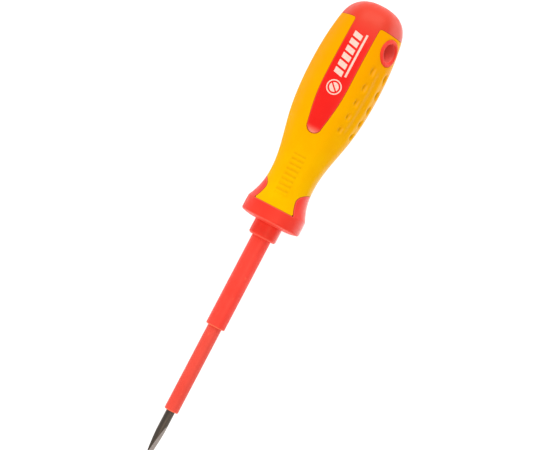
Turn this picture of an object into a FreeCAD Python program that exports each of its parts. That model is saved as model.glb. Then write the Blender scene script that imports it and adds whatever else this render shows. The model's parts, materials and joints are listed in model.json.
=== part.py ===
"""Insulated slotted screwdriver, 3.5 x 100 mm, lying on a table.

Every piece is drawn in the tool's own frame: the blade points along +X, the guard's front face
is at X = 0, the printed panel looks up along +Z and the handle runs back along -X.  One placement
then tips all of them to the attitude in which the tool lies on its belly and its guard.
"""

import FreeCAD, Part
import math
import os
import Sketcher
from FreeCAD import Placement, Rotation, Vector

SIZES = [
    # blade and its insulation
    ("blade_diameter", 3.8, "round bar"),
    ("blade_reach", 100.0, "collar's front face to the tip"),
    ("bare_length", 18.8, "uninsulated steel"),
    ("tip_thickness", 0.6, "ground flats at the very tip"),
    ("tip_grind", 12.2, "length of the ground flats"),
    ("tip_turn", 72.0, "flats' normal, degrees round from the printed panel"),
    ("tang_depth", 70.0, "blade's end behind the guard's front face"),
    ("wing_start", 44.0, "torque wings' start behind the guard's front face"),
    ("wing_length", 10.0, "torque wings along the blade"),
    ("wing_span", 7.4, "across both wings"),
    ("wing_thickness", 1.8, "wings are pressed flat"),
    ("inner_sleeve_diameter", 6.2, "thin insulation"),
    ("outer_sleeve_diameter", 8.5, "thick insulation"),
    ("outer_sleeve_reach", 41.7, "thick insulation in front of the collar"),
    ("outer_sleeve_tail_diameter", 7.7, "thick insulation inside the collar and the core"),
    ("sleeve_rounding", 0.35, "front edge of each sleeve"),
    ("sleeve_depth", 22.0, "sleeves' end behind the guard's front face"),
    # collar and guard
    ("collar_diameter", 12.3, "nose collar"),
    ("collar_length", 7.3, "in front of the guard's rim"),
    ("collar_rounding", 1.1, "collar's front rim"),
    ("collar_depth", 10.0, "collar's tail behind the guard's front face"),
    ("guard_diameter", 26.7, "largest diameter of the guard"),
    ("guard_length", 6.6, "rim to the grip's front edge"),
    ("guard_crown", 0.8, "front face bulges this far at the collar"),
    ("guard_rounding", 1.2, "guard's front rim"),
    ("guard_taper_length", 2.0, "guard narrows behind its widest band"),
    ("guard_back_diameter", 26.5, "guard's back edge, a hair proud of the grip"),
    # outline of the handle, each station measured back from the guard's front face
    ("grip_front_diameter", 26.3, "where the grip meets the guard"),
    ("grip_front_slope", 0.516, "radius lost per millimetre there"),
    ("waist_station", 20.5, "narrowest place"),
    ("waist_diameter", 20.0, "across the waist"),
    ("swell_station", 43.0, "middle of the swell"),
    ("swell_diameter", 27.4, "across the middle of the swell"),
    ("swell_slope", 0.195, "radius gained per millimetre there"),
    ("belly_station", 68.0, "widest place"),
    ("belly_diameter", 31.7, "across the belly"),
    ("seam_station", 91.5, "where the butt cap starts"),
    ("seam_diameter", 27.6, "across the seam"),
    ("seam_slope", 0.19, "radius lost per millimetre there"),
    ("handle_length", 101.5, "guard's front face to the end of the butt"),
    ("dome_centre", 86.5, "station of the dome's centre"),
    ("dome_power", 2.5, "bluntness of the dome: 2 would make it an ellipse"),
    ("facet_depth", 0.018, "depth of the six flats, as a share of the radius"),
    ("facet_start_station", 24.0, "the flats begin to show"),
    ("facet_full_station", 48.0, "the flats have their full depth"),
    ("grip_wall", 2.2, "soft skin over the hard core"),
    # butt cap and its two printed panels
    ("cap_spigot", 5.0, "core's end inside the cap"),
    ("panel_half_width", 5.65, "panel along its parallel stretch"),
    ("panel_end_station", 40.6, "rounded front end of the panel"),
    ("panel_end_radius", 3.3, "rounding of that end"),
    ("panel_neck_half_width", 4.25, "half width towards which the narrowing sides lean"),
    ("panel_shoulder_station", 64.0, "where the panel starts to narrow"),
    # petals of the guard
    ("petal_end_station", 17.2, "rounded end of the petal"),
    ("petal_half_width", 9.4, "petal at the guard"),
    ("petal_corner_station", 12.4, "where the petal's end begins to round"),
    ("petal_corner_half_width", 8.3, "petal at that corner"),
    ("petal_lean_station", 15.28, "pole of the rounded corner, near the sides"),
    ("petal_lean_half_width", 7.72, "half width at that pole"),
    ("petal_tip_half_width", 4.81, "half width of the corner's pole at the end"),
    # hang hole
    ("hang_station", 84.6, "hole's axis behind the guard's front face"),
    ("hang_turn", 62.0, "hole's direction, degrees round from the printed panel"),
    ("hang_diameter", 7.8, "through hole"),
    ("hang_ring_diameter", 11.4, "raised ring round the hole"),
    ("hang_ring_height", 0.5, "ring above the grip"),
    # dimples and ribs pressed into the grip
    ("dimple_rows_apart", 36.0, "degrees between the two rows on one flank"),
    ("dimple_first_station", 47.2, "first dimple of a row"),
    ("dimple_pitch", 6.0, "first to second dimple"),
    ("dimple_pitch_growth", 0.2, "spacing grows towards the belly"),
    ("dimple_length", 4.0, "first dimple of a row"),
    ("dimple_length_growth", 0.5, "each next dimple is longer"),
    ("dimple_width", 2.5, "across the row"),
    ("dimple_depth", 0.7, "below the grip"),
    ("rib_first_station", 13.0, "first cross rib"),
    ("rib_pitch", 2.3, "rib to rib"),
    ("rib_half_width", 3.1, "half of a rib's length across the neck"),
    ("rib_radius", 0.5, "rounded back of a rib"),
    ("rib_height", 0.3, "above the grip"),
]
DIMPLES_IN_ROW = 5
RIBS_IN_ROW = 8
FACETS = 6
POINTS_ROUND = 36
BODY_SECTIONS = 20
DOME_SECTIONS = 7
DOME_LAST_TURN = 85.0  # degrees from the dome's widest ring to its last section; the pole is at 90
BEYOND = 30.0  # mm from the axis, clear of every surface of the handle

doc = FreeCAD.newDocument("insulated_screwdriver")
sheet = doc.addObject("Spreadsheet::Sheet", "Sizes")


def fill_sheet():
    for row, (alias, value, note) in enumerate(SIZES, start=1):
        sheet.set(f"A{row}", alias)
        sheet.set(f"B{row}", str(value))
        sheet.set(f"C{row}", note)
        sheet.setAlias(f"B{row}", alias)
    doc.recompute()


def size(alias):
    return float(sheet.get(alias))


# ---------------------------------------------------------------- sketch helpers


def origin_feature(body, role):
    return next(f for f in body.Origin.OriginFeatures if f.Role == role)


def new_body(name):
    body = doc.addObject("PartDesign::Body", name)
    body.Label = name
    return body


def outline_sketch(body, name, corners, plane="XY_Plane"):
    """A closed outline of straight lines; each corner is a pair of expressions on the sheet."""
    sketch = body.newObject("Sketcher::SketchObject", name)
    sketch.AttachmentSupport = (origin_feature(body, plane), "")
    sketch.MapMode = "FlatFace"
    spots = [Vector(evaluate(across), evaluate(up), 0) for across, up in corners]
    count = len(spots)
    for i in range(count):
        sketch.addGeometry(Part.LineSegment(spots[i], spots[(i + 1) % count]))
    for i in range(count):
        sketch.addConstraint(Sketcher.Constraint("Coincident", i, 2, (i + 1) % count, 1))
    for i, (across, up) in enumerate(corners):
        for kind, value, text in (("DistanceX", spots[i].x, across), ("DistanceY", spots[i].y, up)):
            number = sketch.addConstraint(Sketcher.Constraint(kind, -1, 1, i, 1, value))
            sketch.setExpression(f"Constraints[{number}]", text)
    return sketch


def evaluate(expression):
    """Value of an expression on the sheet, for a sketch's first guess."""
    return float(sheet.evalExpression(expression))


def revolved(name, corners):
    """A body turned from an outline of (X, radius) corners about the tool's axis."""
    body = new_body(name)
    sketch = outline_sketch(body, name + "_outline", corners)
    turn = body.newObject("PartDesign::Revolution", name + "_turned")
    turn.Profile = sketch
    turn.ReferenceAxis = (sketch, ["H_Axis"])
    turn.Angle = 360.0
    doc.recompute()
    return body


def round_edges(body, name, alias, edges):
    last_feature = body.Tip
    fillet = body.newObject("PartDesign::Fillet", name)
    fillet.Base = (last_feature, edges)
    fillet.setExpression("Radius", "Sizes." + alias)
    doc.recompute()
    return fillet


def circles_at(body, station, radius):
    """Names of the body's circular edges at a station with a radius, both in millimetres."""
    found = []
    for number, edge in enumerate(body.Shape.Edges, start=1):
        if not isinstance(edge.Curve, Part.Circle):
            continue
        centre = edge.Curve.Center
        if abs(centre.x - station) < 1e-4 and abs(edge.Curve.Radius - radius) < 1e-4:
            found.append(f"Edge{number}")
    return found


# ---------------------------------------------------------------- turned and ground pieces


def build_blade():
    body = new_body("blade")
    bar = outline_sketch(
        body,
        "blade_outline",
        [
            ("-Sizes.tang_depth", "0"),
            ("Sizes.blade_reach + Sizes.collar_length", "0"),
            ("Sizes.blade_reach + Sizes.collar_length", "Sizes.blade_diameter / 2"),
            ("-Sizes.tang_depth", "Sizes.blade_diameter / 2"),
        ],
    )
    turn = body.newObject("PartDesign::Revolution", "blade_bar")
    turn.Profile = bar
    turn.ReferenceAxis = (bar, ["H_Axis"])
    turn.Angle = 360.0
    wings = outline_sketch(
        body,
        "wing_outline",
        [
            ("-Sizes.wing_start - Sizes.wing_length", "-Sizes.wing_span / 2"),
            ("-Sizes.wing_start", "-Sizes.wing_span / 2"),
            ("-Sizes.wing_start", "Sizes.wing_span / 2"),
            ("-Sizes.wing_start - Sizes.wing_length", "Sizes.wing_span / 2"),
        ],
    )
    pad = body.newObject("PartDesign::Pad", "blade_wings")
    pad.Profile = wings
    pad.Midplane = True
    pad.setExpression("Length", "Sizes.wing_thickness")
    doc.recompute()
    before = body.Shape.Volume
    for side, sign in (("upper", ""), ("lower", "-")):
        tip = "Sizes.blade_reach + Sizes.collar_length"
        flat = outline_sketch(
            body,
            side + "_grind",
            [
                (f"{tip} - Sizes.tip_grind", f"{sign}Sizes.blade_diameter / 2"),
                (tip, f"{sign}Sizes.tip_thickness / 2"),
                (tip, f"{sign}Sizes.blade_diameter"),
                (f"{tip} - Sizes.tip_grind", f"{sign}Sizes.blade_diameter"),
            ],
            plane="XZ_Plane",
        )
        pocket = body.newObject("PartDesign::Pocket", side + "_flat")
        pocket.Profile = flat
        pocket.Type = "ThroughAll"
        pocket.Midplane = True
        doc.recompute()
        if body.Shape.Volume >= before - 1.0:
            raise RuntimeError(f"the {side} flat cut nothing")
        before = body.Shape.Volume
    return body


def build_inner_sleeve():
    front = "Sizes.blade_reach + Sizes.collar_length - Sizes.bare_length"
    end = evaluate(front)
    body = revolved(
        "inner_sleeve",
        [
            ("-Sizes.sleeve_depth", "Sizes.blade_diameter / 2"),
            (front, "Sizes.blade_diameter / 2"),
            (front, "Sizes.inner_sleeve_diameter / 2"),
            ("-Sizes.sleeve_depth", "Sizes.inner_sleeve_diameter / 2"),
        ],
    )
    rim = circles_at(body, end, size("inner_sleeve_diameter") / 2)
    round_edges(body, "inner_sleeve_rim", "sleeve_rounding", rim)
    return body


def build_outer_sleeve():
    body = revolved(
        "outer_sleeve",
        [
            ("-Sizes.sleeve_depth", "Sizes.inner_sleeve_diameter / 2"),
            ("Sizes.collar_length + Sizes.outer_sleeve_reach", "Sizes.inner_sleeve_diameter / 2"),
            ("Sizes.collar_length + Sizes.outer_sleeve_reach", "Sizes.outer_sleeve_diameter / 2"),
            ("Sizes.collar_length", "Sizes.outer_sleeve_diameter / 2"),
            ("Sizes.collar_length", "Sizes.outer_sleeve_tail_diameter / 2"),
            ("-Sizes.sleeve_depth", "Sizes.outer_sleeve_tail_diameter / 2"),
        ],
    )
    end = size("collar_length") + size("outer_sleeve_reach")
    rim = circles_at(body, end, size("outer_sleeve_diameter") / 2)
    round_edges(body, "outer_sleeve_rim", "sleeve_rounding", rim)
    return body


def build_nose_collar():
    body = revolved(
        "nose_collar",
        [
            ("-Sizes.collar_depth", "Sizes.outer_sleeve_tail_diameter / 2"),
            ("Sizes.collar_length", "Sizes.outer_sleeve_tail_diameter / 2"),
            ("Sizes.collar_length", "Sizes.collar_diameter / 2"),
            ("-Sizes.collar_depth", "Sizes.collar_diameter / 2"),
        ],
    )
    rim = circles_at(body, size("collar_length"), size("collar_diameter") / 2)
    round_edges(body, "collar_rim", "collar_rounding", rim)
    return body


# ---------------------------------------------------------------- the handle's free form


def smooth_step(share):
    share = min(max(share, 0.0), 1.0)
    return share * share * (3.0 - 2.0 * share)


def outline_stations():
    """Station, radius and slope of the radius, from the guard to the butt cap's seam."""
    return [
        (size("guard_length"), size("grip_front_diameter") / 2, -size("grip_front_slope")),
        (size("waist_station"), size("waist_diameter") / 2, 0.0),
        (size("swell_station"), size("swell_diameter") / 2, size("swell_slope")),
        (size("belly_station"), size("belly_diameter") / 2, 0.0),
        (size("seam_station"), size("seam_diameter") / 2, -size("seam_slope")),
    ]


def mean_radius(station):
    """Radius of the handle, before its flats: cubic spans to the seam, then a blunt dome."""
    stations = outline_stations()
    for (start, r_start, slope_start), (end, r_end, slope_end) in zip(stations, stations[1:]):
        if station <= end:
            span = end - start
            u = (station - start) / span
            return (
                (2 * u**3 - 3 * u**2 + 1) * r_start
                + (u**3 - 2 * u**2 + u) * span * slope_start
                + (3 * u**2 - 2 * u**3) * r_end
                + (u**3 - u**2) * span * slope_end
            )
    centre = size("dome_centre")
    reach = size("handle_length") - centre
    power = size("dome_power")
    seam_share = (size("seam_station") - centre) / reach
    crown = size("seam_diameter") / 2 / (1 - seam_share**power) ** (1 / power)
    return crown * max(0.0, 1 - ((station - centre) / reach) ** power) ** (1 / power)


def section(station, skin):
    """Closed, smooth, six-sided ring round the tool's axis; skin moves it outwards."""
    fade_in = size("facet_full_station") - size("facet_start_station")
    flats = size("facet_depth") * smooth_step((station - size("facet_start_station")) / fade_in)
    radius = mean_radius(station) + skin
    points = []
    for step in range(POINTS_ROUND):
        angle = 2 * math.pi * step / POINTS_ROUND
        reach = radius * (1 - flats * math.cos(FACETS * angle))
        points.append(Vector(-station, reach * math.sin(angle), reach * math.cos(angle)))
    curve = Part.BSplineCurve()
    curve.interpolate(Points=points, PeriodicFlag=True)
    return Part.Wire([curve.toShape()])


def dome_station(turn):
    """Station on the dome, by its turn in radians from the dome's widest ring."""
    centre = size("dome_centre")
    return centre + (size("handle_length") - centre) * math.sin(turn)


def dome_end():
    """Last section of the dome, where the end of the butt is all but flat."""
    return dome_station(math.radians(DOME_LAST_TURN))


def handle_form(skin, last_station):
    """The handle's solid form from the guard to last_station."""
    first = size("guard_length")
    seam = size("seam_station")
    stations = [first + (seam - first) * step / BODY_SECTIONS for step in range(BODY_SECTIONS + 1)]
    dome_start = math.asin((seam - size("dome_centre")) / (size("handle_length") - size("dome_centre")))
    dome_turn = math.radians(DOME_LAST_TURN) - dome_start
    for step in range(1, DOME_SECTIONS + 1):
        stations.append(dome_station(dome_start + dome_turn * step / DOME_SECTIONS))
    stations = [station for station in stations if station < last_station - 0.5] + [last_station]
    return Part.makeLoft([section(station, skin) for station in stations], True, False)


def bezier(poles):
    """Curved edge through the first and last pole, leaning towards the ones between."""
    curve = Part.BezierCurve()
    curve.setPoles(poles)
    return curve.toShape()


def panel_side(sign):
    """One side of the printed panel where it narrows from its shoulder to its rounded end."""
    shoulder = size("panel_shoulder_station")
    end_centre = size("panel_end_station") + size("panel_end_radius")
    narrowing = shoulder - end_centre
    half = size("panel_half_width")
    neck = size("panel_neck_half_width")
    return bezier(
        [
            Vector(-shoulder, sign * half, 0),
            Vector(-(shoulder - 0.45 * narrowing), sign * half, 0),
            Vector(-(end_centre + 0.25 * narrowing), sign * neck, 0),
            Vector(-end_centre, sign * size("panel_end_radius"), 0),
        ]
    )


def panel_prism(up):
    """Upright block whose outline is the printed panel: parallel, narrowing, round at its end."""
    half = size("panel_half_width")
    end_radius = size("panel_end_radius")
    end_centre = size("panel_end_station") + end_radius
    shoulder = size("panel_shoulder_station")
    rear = size("handle_length") + 5.0
    end_arc = Part.Arc(
        Vector(-end_centre, end_radius, 0),
        Vector(-(end_centre - end_radius), 0, 0),
        Vector(-end_centre, -end_radius, 0),
    )
    wire = Part.Wire(
        [
            Part.makeLine(Vector(-rear, half, 0), Vector(-shoulder, half, 0)),
            panel_side(1),
            end_arc.toShape(),
            panel_side(-1),
            Part.makeLine(Vector(-shoulder, -half, 0), Vector(-rear, -half, 0)),
            Part.makeLine(Vector(-rear, -half, 0), Vector(-rear, half, 0)),
        ]
    )
    return Part.Face(wire).extrude(Vector(0, 0, up * BEYOND))


def petal_corner(sign):
    """One rounded corner of a petal, from its side to the middle of its end."""
    end = size("petal_end_station")
    return bezier(
        [
            Vector(-size("petal_corner_station"), 0, sign * size("petal_corner_half_width")),
            Vector(-size("petal_lean_station"), 0, sign * size("petal_lean_half_width")),
            Vector(-end, 0, sign * size("petal_tip_half_width")),
            Vector(-end, 0, 0),
        ]
    )


def petal_prism(side):
    """Sideways block whose outline is one petal of the guard."""
    base = size("guard_length")
    half = size("petal_half_width")
    corner = size("petal_corner_station")
    corner_half = size("petal_corner_half_width")
    wire = Part.Wire(
        [
            Part.makeLine(Vector(-base, 0, half), Vector(-corner, 0, corner_half)),
            petal_corner(1),
            petal_corner(-1),
            Part.makeLine(Vector(-corner, 0, -corner_half), Vector(-base, 0, -half)),
            Part.makeLine(Vector(-base, 0, -half), Vector(-base, 0, half)),
        ]
    )
    return Part.Face(wire).extrude(Vector(0, side * BEYOND, 0))


def about_axis(degrees):
    """Turn about the tool's axis that takes +Z towards +Y by the angle."""
    return Placement(Vector(), Rotation(Vector(1, 0, 0), -degrees))


def hang_cylinder(diameter):
    """Round bar through the handle along the hang hole's axis."""
    foot = Vector(-size("hang_station"), 0, -BEYOND)
    bar = Part.makeCylinder(diameter / 2, 2 * BEYOND, foot, Vector(0, 0, 1))
    bar.Placement = about_axis(size("hang_turn"))
    return bar


def dimple_cutters():
    """Oval cutters in two rows on each of the two flanks that carry the hang hole."""
    cutters = []
    for flank in (0.0, 180.0):
        for row in (-0.5, 0.5):
            turn = flank + size("hang_turn") + row * size("dimple_rows_apart")
            for i in range(DIMPLES_IN_ROW):
                station = size("dimple_first_station") + size("dimple_pitch") * i
                station += size("dimple_pitch_growth") * i**2
                long_half = (size("dimple_length") + size("dimple_length_growth") * i) / 2
                cutters.append(dimple_cutter(station, long_half, turn))
    return cutters


def dimple_cutter(station, long_half, turn):
    """Ellipsoid that cuts one oval dimple of the stated length, width and depth."""
    depth = size("dimple_depth")
    wide_half = size("dimple_width") / 2
    ball = Part.makeSphere(1.0)
    # the ellipsoid stands as far out as it cuts in, so its waist is level with the surface
    scale = FreeCAD.Matrix()
    scale.scale(long_half, wide_half, depth)
    oval = ball.transformGeometry(scale)
    surface = mean_radius(station)
    oval.Placement = about_axis(turn).multiply(Placement(Vector(-station, 0, surface), Rotation()))
    return oval


def rib_bars():
    """Cross ribs over the neck, above the front and the back of the tool."""
    radius = size("rib_radius")
    half = size("rib_half_width")
    bars = []
    for below in (0.0, BEYOND):
        for i in range(RIBS_IN_ROW):
            station = size("rib_first_station") + size("rib_pitch") * i
            crest = mean_radius(station) + size("rib_height")
            ring = Part.makeTorus(crest - radius, radius, Vector(-station, 0, 0), Vector(1, 0, 0))
            corner = Vector(-station - 2 * radius, -half, -below)
            bars.append(ring.common(Part.makeBox(4 * radius, 2 * half, BEYOND, corner)))
    return bars


def behind(shape, start, end):
    """The stretch of a shape between two stations."""
    return shape.common(Part.makeBox(end - start, 2 * BEYOND, 2 * BEYOND, Vector(-end, -BEYOND, -BEYOND)))


def free_form_shapes():
    """Shapes of the guard, core, grip, cap and bush, in the tool's frame."""
    guard_back = size("guard_length")
    seam = size("seam_station")
    rear = size("handle_length")
    outer = handle_form(0.0, dome_end())
    inner = handle_form(-size("grip_wall"), seam + size("cap_spigot"))
    skin = outer.cut(inner)
    bush_hole = hang_cylinder(size("hang_ring_diameter"))
    bore = hang_cylinder(size("hang_diameter"))
    panels = [panel_prism(up) for up in (1, -1)]
    petals = [petal_prism(side) for side in (1, -1)]

    butt_block = Part.makeBox(rear - seam, 2 * BEYOND, 2 * BEYOND, Vector(-rear, -BEYOND, -BEYOND))
    cap = skin.common(butt_block.multiFuse(panels).removeSplitter())

    neck = behind(skin, guard_back, size("swell_station"))
    guard = guard_ring().multiFuse([neck.common(petal) for petal in petals]).removeSplitter()

    grip = behind(skin, guard_back, seam)
    grip = grip.cut(panels + petals + [bush_hole] + dimple_cutters())
    grip = grip.multiFuse([bar.cut(inner) for bar in rib_bars()])

    core = inner.cut([bush_hole, tang_void(), sleeve_void(), collar_void()])
    bush = bush_hole.cut(bore).common(handle_form(size("hang_ring_height"), dome_end()))
    return {
        "finger_guard": guard,
        "handle_core": core,
        "soft_grip": grip,
        "butt_cap": cap,
        "hang_hole_bush": bush,
    }


def guard_ring():
    """Guard: round band with a crowned front face, turned about the tool's axis."""
    bore = size("collar_diameter") / 2
    widest = size("guard_diameter") / 2
    back = size("guard_back_diameter") / 2
    rounding = size("guard_rounding")
    crown = size("guard_crown")
    length = size("guard_length")
    rim_mid = rounding * (1 - math.sqrt(0.5))
    taper_start = size("guard_taper_length") - length
    crown_arc = Part.Arc(
        Vector(crown, bore, 0),
        Vector(0.72 * crown, (bore + widest - rounding) / 2, 0),
        Vector(0, widest - rounding, 0),
    )
    rim_arc = Part.Arc(
        Vector(0, widest - rounding, 0),
        Vector(-rim_mid, widest - rim_mid, 0),
        Vector(-rounding, widest, 0),
    )
    wire = Part.Wire(
        [
            Part.makeLine(Vector(-length, bore, 0), Vector(crown, bore, 0)),
            crown_arc.toShape(),
            rim_arc.toShape(),
            Part.makeLine(Vector(-rounding, widest, 0), Vector(taper_start, widest, 0)),
            Part.makeLine(Vector(taper_start, widest, 0), Vector(-length, back, 0)),
            Part.makeLine(Vector(-length, back, 0), Vector(-length, bore, 0)),
        ]
    )
    return Part.Face(wire).revolve(Vector(), Vector(1, 0, 0), 360)


def tang_void():
    """Room in the core for the blade and its wings."""
    blade = doc.getObject("blade").Shape.copy()
    blade.Placement = about_axis(size("tip_turn"))
    return blade


def socket(diameter, depth):
    """Round bar that opens the core from the guard's front face back to a depth."""
    return Part.makeCylinder(diameter / 2, depth, Vector(-depth, 0, 0), Vector(1, 0, 0))


def sleeve_void():
    return socket(size("outer_sleeve_tail_diameter"), size("sleeve_depth"))


def collar_void():
    return socket(size("collar_diameter"), size("collar_depth"))


# ---------------------------------------------------------------- attitude, checks and files


def resting_placement():
    """Tips the tool until its belly and its guard touch the table, centred over the origin."""
    rim_station = size("guard_rounding")
    rim_radius = size("guard_diameter") / 2
    first = round(size("waist_station"))
    last = round(size("seam_station"))
    flat = 1 - size("facet_depth")
    tilt = max(
        math.atan2(mean_radius(station) * flat - rim_radius, station - rim_station)
        for station in range(first, last)
    )
    lift = rim_radius * math.cos(tilt) - rim_station * math.sin(tilt)
    middle = (size("blade_reach") + size("collar_length") - size("handle_length")) / 2
    turn = Rotation(Vector(0, 1, 0), math.degrees(tilt))
    return Placement(Vector(-middle * math.cos(tilt), 0, lift), turn)


def main():
    fill_sheet()
    bodies = [build_blade(), build_inner_sleeve(), build_outer_sleeve(), build_nose_collar()]
    features = []
    for name, shape in free_form_shapes().items():
        feature = doc.addObject("Part::Feature", name)
        feature.Label = name
        feature.Shape = shape
        features.append(feature)
    rest = resting_placement()
    for piece in bodies + features:
        piece.Placement = rest
    bodies[0].Placement = rest.multiply(about_axis(size("tip_turn")))
    doc.recompute()
    for item in doc.Objects:
        if "Invalid" in item.State or "Error" in item.State:
            raise RuntimeError(f"{item.Name} did not build: {item.State}")
    os.makedirs("parts", exist_ok=True)
    for piece in bodies + features:
        shape = piece.Shape
        if shape.isNull() or not shape.isValid():
            raise RuntimeError(f"{piece.Label} has no valid shape")
        shape.exportStep(f"parts/{piece.Label}.step")
        print(f"{piece.Label}: {len(shape.Solids)} solid, {shape.Volume:.1f} mm3, {len(shape.Faces)} faces")


main()
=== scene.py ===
"""Looks of the insulated screwdriver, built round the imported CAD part.

The moulded skins are drawn in the tool's own frame, in millimetres: the blade points along +X, the
guard's front face is at X = 0, the printed panel looks up along +Z.  A place on the handle is given
by its station, measured back from the guard's front face, and its turn, from +Z towards +Y.
"""

import json
import math

import bpy
import numpy as np
from mathutils import Matrix, Vector


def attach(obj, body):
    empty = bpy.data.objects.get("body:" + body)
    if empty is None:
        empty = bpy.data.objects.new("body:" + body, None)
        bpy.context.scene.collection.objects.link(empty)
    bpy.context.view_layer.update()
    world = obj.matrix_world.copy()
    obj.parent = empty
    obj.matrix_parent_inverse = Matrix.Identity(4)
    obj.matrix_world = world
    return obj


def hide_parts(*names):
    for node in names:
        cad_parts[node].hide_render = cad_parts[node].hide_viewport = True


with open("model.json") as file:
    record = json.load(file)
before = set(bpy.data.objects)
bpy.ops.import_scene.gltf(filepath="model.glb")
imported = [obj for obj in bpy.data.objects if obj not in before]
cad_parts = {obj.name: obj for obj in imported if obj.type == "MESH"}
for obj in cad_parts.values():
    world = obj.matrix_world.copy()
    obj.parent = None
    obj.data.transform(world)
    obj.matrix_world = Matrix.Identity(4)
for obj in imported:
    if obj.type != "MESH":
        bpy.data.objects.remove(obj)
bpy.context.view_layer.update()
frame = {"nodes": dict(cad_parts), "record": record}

TAU = 2 * math.pi
MM = 0.001

# ---------------------------------------------------------------- sizes, in millimetres

REACH = 107.3  # guard's front face to the blade's tip
BLADE_R = 1.9
BARE_START = 88.5
GRIND_START = 95.1
TIP_HALF = 0.3
TIP_TURN = math.radians(72)
INNER_R = 3.1
OUTER_R = 4.25
OUTER_END = 49.0
COLLAR_R = 6.15
COLLAR_END = 7.3
GUARD_R = 13.35
GUARD_BACK_R = 13.25
PETAL_LIFT = 0.1  # the petals stand this far above the grip's outline where they leave the guard
GUARD_END = 6.6
CROWN = 0.8
GUARD_ROUNDING = 1.2
SEAM = 91.5
BUTT = 101.5
DOME_CENTRE = 86.5
DOME_POWER = 2.5
# station, radius and slope of the handle's outline
OUTLINE = [
    (6.6, 13.15, -0.516),
    (20.5, 10.0, 0.0),
    (43.0, 13.7, 0.195),
    (68.0, 15.85, 0.0),
    (91.5, 13.8, -0.19),
]
FACET = 0.018
FACET_START = 24.0
FACET_FULL = 48.0
PANEL_HALF = 5.65
PANEL_END = 40.6
PANEL_END_R = 3.3
PANEL_NECK = 4.25
PANEL_SHOULDER = 64.0
PETAL_TIP = 17.2
PETAL_OUTLINE = [(12.4, 8.3), (15.28, 7.72), (PETAL_TIP, 4.81), (PETAL_TIP, 0.0)]
PETAL_BASE_HALF = 9.4
HANG = 84.6
HANG_TURN = math.radians(62)
HANG_R = 3.9
RING_R = 5.7
# distance from the hang hole's axis and height above the grip, from outside the ring to the bore
RING_PROFILE = [
    (RING_R, -1.3),
    (RING_R, -0.2),
    (5.66, 0.02),
    (5.52, 0.22),
    (5.28, 0.39),
    (4.98, 0.48),
    (4.62, 0.46),
    (4.3, 0.36),
    (4.08, 0.16),
    (3.95, -0.14),
    (HANG_R, -0.5),
    (HANG_R, -2.0),
]
BORE_ROW = 10  # the first of these rows in the bore
VALLEY_DEPTH = 0.3
VALLEY_HALF = 3.0
DIMPLE_ROWS_APART = math.radians(36)
# place of a row about the hang hole's line, the strength of the painted shade in its dimples, and the
# shift of that painted shade
DIMPLE_ROWS = [(-0.5, 0.6, 0.3), (0.5, 1.0, -0.1)]
DIMPLE_COUNT = 5
DIMPLE_FIRST = 47.2
DIMPLE_DEPTH = 0.85
DIMPLE_HALF = 1.75
RIB_COUNT = 8
RIB_FIRST = 13.0
RIB_PITCH = 2.3
RIB_HALF = 3.1
RIB_HEIGHT = 0.32
PANEL_ROLL = 0.5
INK_LIFT = 0.035


# ---------------------------------------------------------------- the tool's frame

mounts = {mount["name"]: mount for mount in frame["record"]["mounts"]}
along = Vector(mounts["shank"]["axis"]).normalized()
across = Vector((0, 1, 0))
upward = along.cross(across).normalized()
guard_face = Vector(mounts["blade_tip"]["pos_m"]) - along * REACH * MM
TOOL = Matrix(
    (
        (along.x, across.x, upward.x, guard_face.x),
        (along.y, across.y, upward.y, guard_face.y),
        (along.z, across.z, upward.z, guard_face.z),
        (0, 0, 0, 1),
    )
)

# the camera's own directions: it stands square to the tool's axis, over the panel's right edge
SIDE_STEP = math.radians(9.5)
ROLL = math.radians(27.68)
CAMERA_DISTANCE = 0.8625
LENS = 135.5
view_back = upward * math.cos(SIDE_STEP) + across * math.sin(SIDE_STEP)
right_of_tool = view_back.cross(along)
view_right = -along * math.sin(ROLL) + right_of_tool * math.cos(ROLL)
view_up = -along * math.cos(ROLL) - right_of_tool * math.sin(ROLL)


def smooth_step(low, high, value):
    share = np.clip((value - low) / (high - low), 0, 1)
    return share * share * (3 - 2 * share)


def bump_step(value):
    """1 at value 0, falling smoothly to 0 at value 1 and beyond."""
    return np.clip(1 - value * value, 0, 1) ** 2


# ---------------------------------------------------------------- the handle's surface

STEP = 1e-3  # for slopes, in millimetres or radians


def mean_radius(station):
    """Radius before the flats: cubic spans to the seam, then a blunt dome."""
    seam_share = (SEAM - DOME_CENTRE) / (BUTT - DOME_CENTRE)
    crown = OUTLINE[-1][1] / (1 - seam_share**DOME_POWER) ** (1 / DOME_POWER)
    share = np.clip((station - DOME_CENTRE) / (BUTT - DOME_CENTRE), 0, 1)
    radius = crown * (1 - share**DOME_POWER) ** (1 / DOME_POWER)
    for (start, r_start, slope_start), (end, r_end, slope_end) in zip(OUTLINE[-2::-1], OUTLINE[:0:-1]):
        span = end - start
        u = (station - start) / span
        cubic = (
            (2 * u**3 - 3 * u**2 + 1) * r_start
            + (u**3 - 2 * u**2 + u) * span * slope_start
            + (3 * u**2 - 2 * u**3) * r_end
            + (u**3 - u**2) * span * slope_end
        )
        radius = np.where(station <= end, cubic, radius)
    return radius


def handle_radius(station, turn):
    flats = FACET * smooth_step(FACET_START, FACET_FULL, station)
    return mean_radius(station) * (1 - flats * np.cos(6 * turn))


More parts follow.
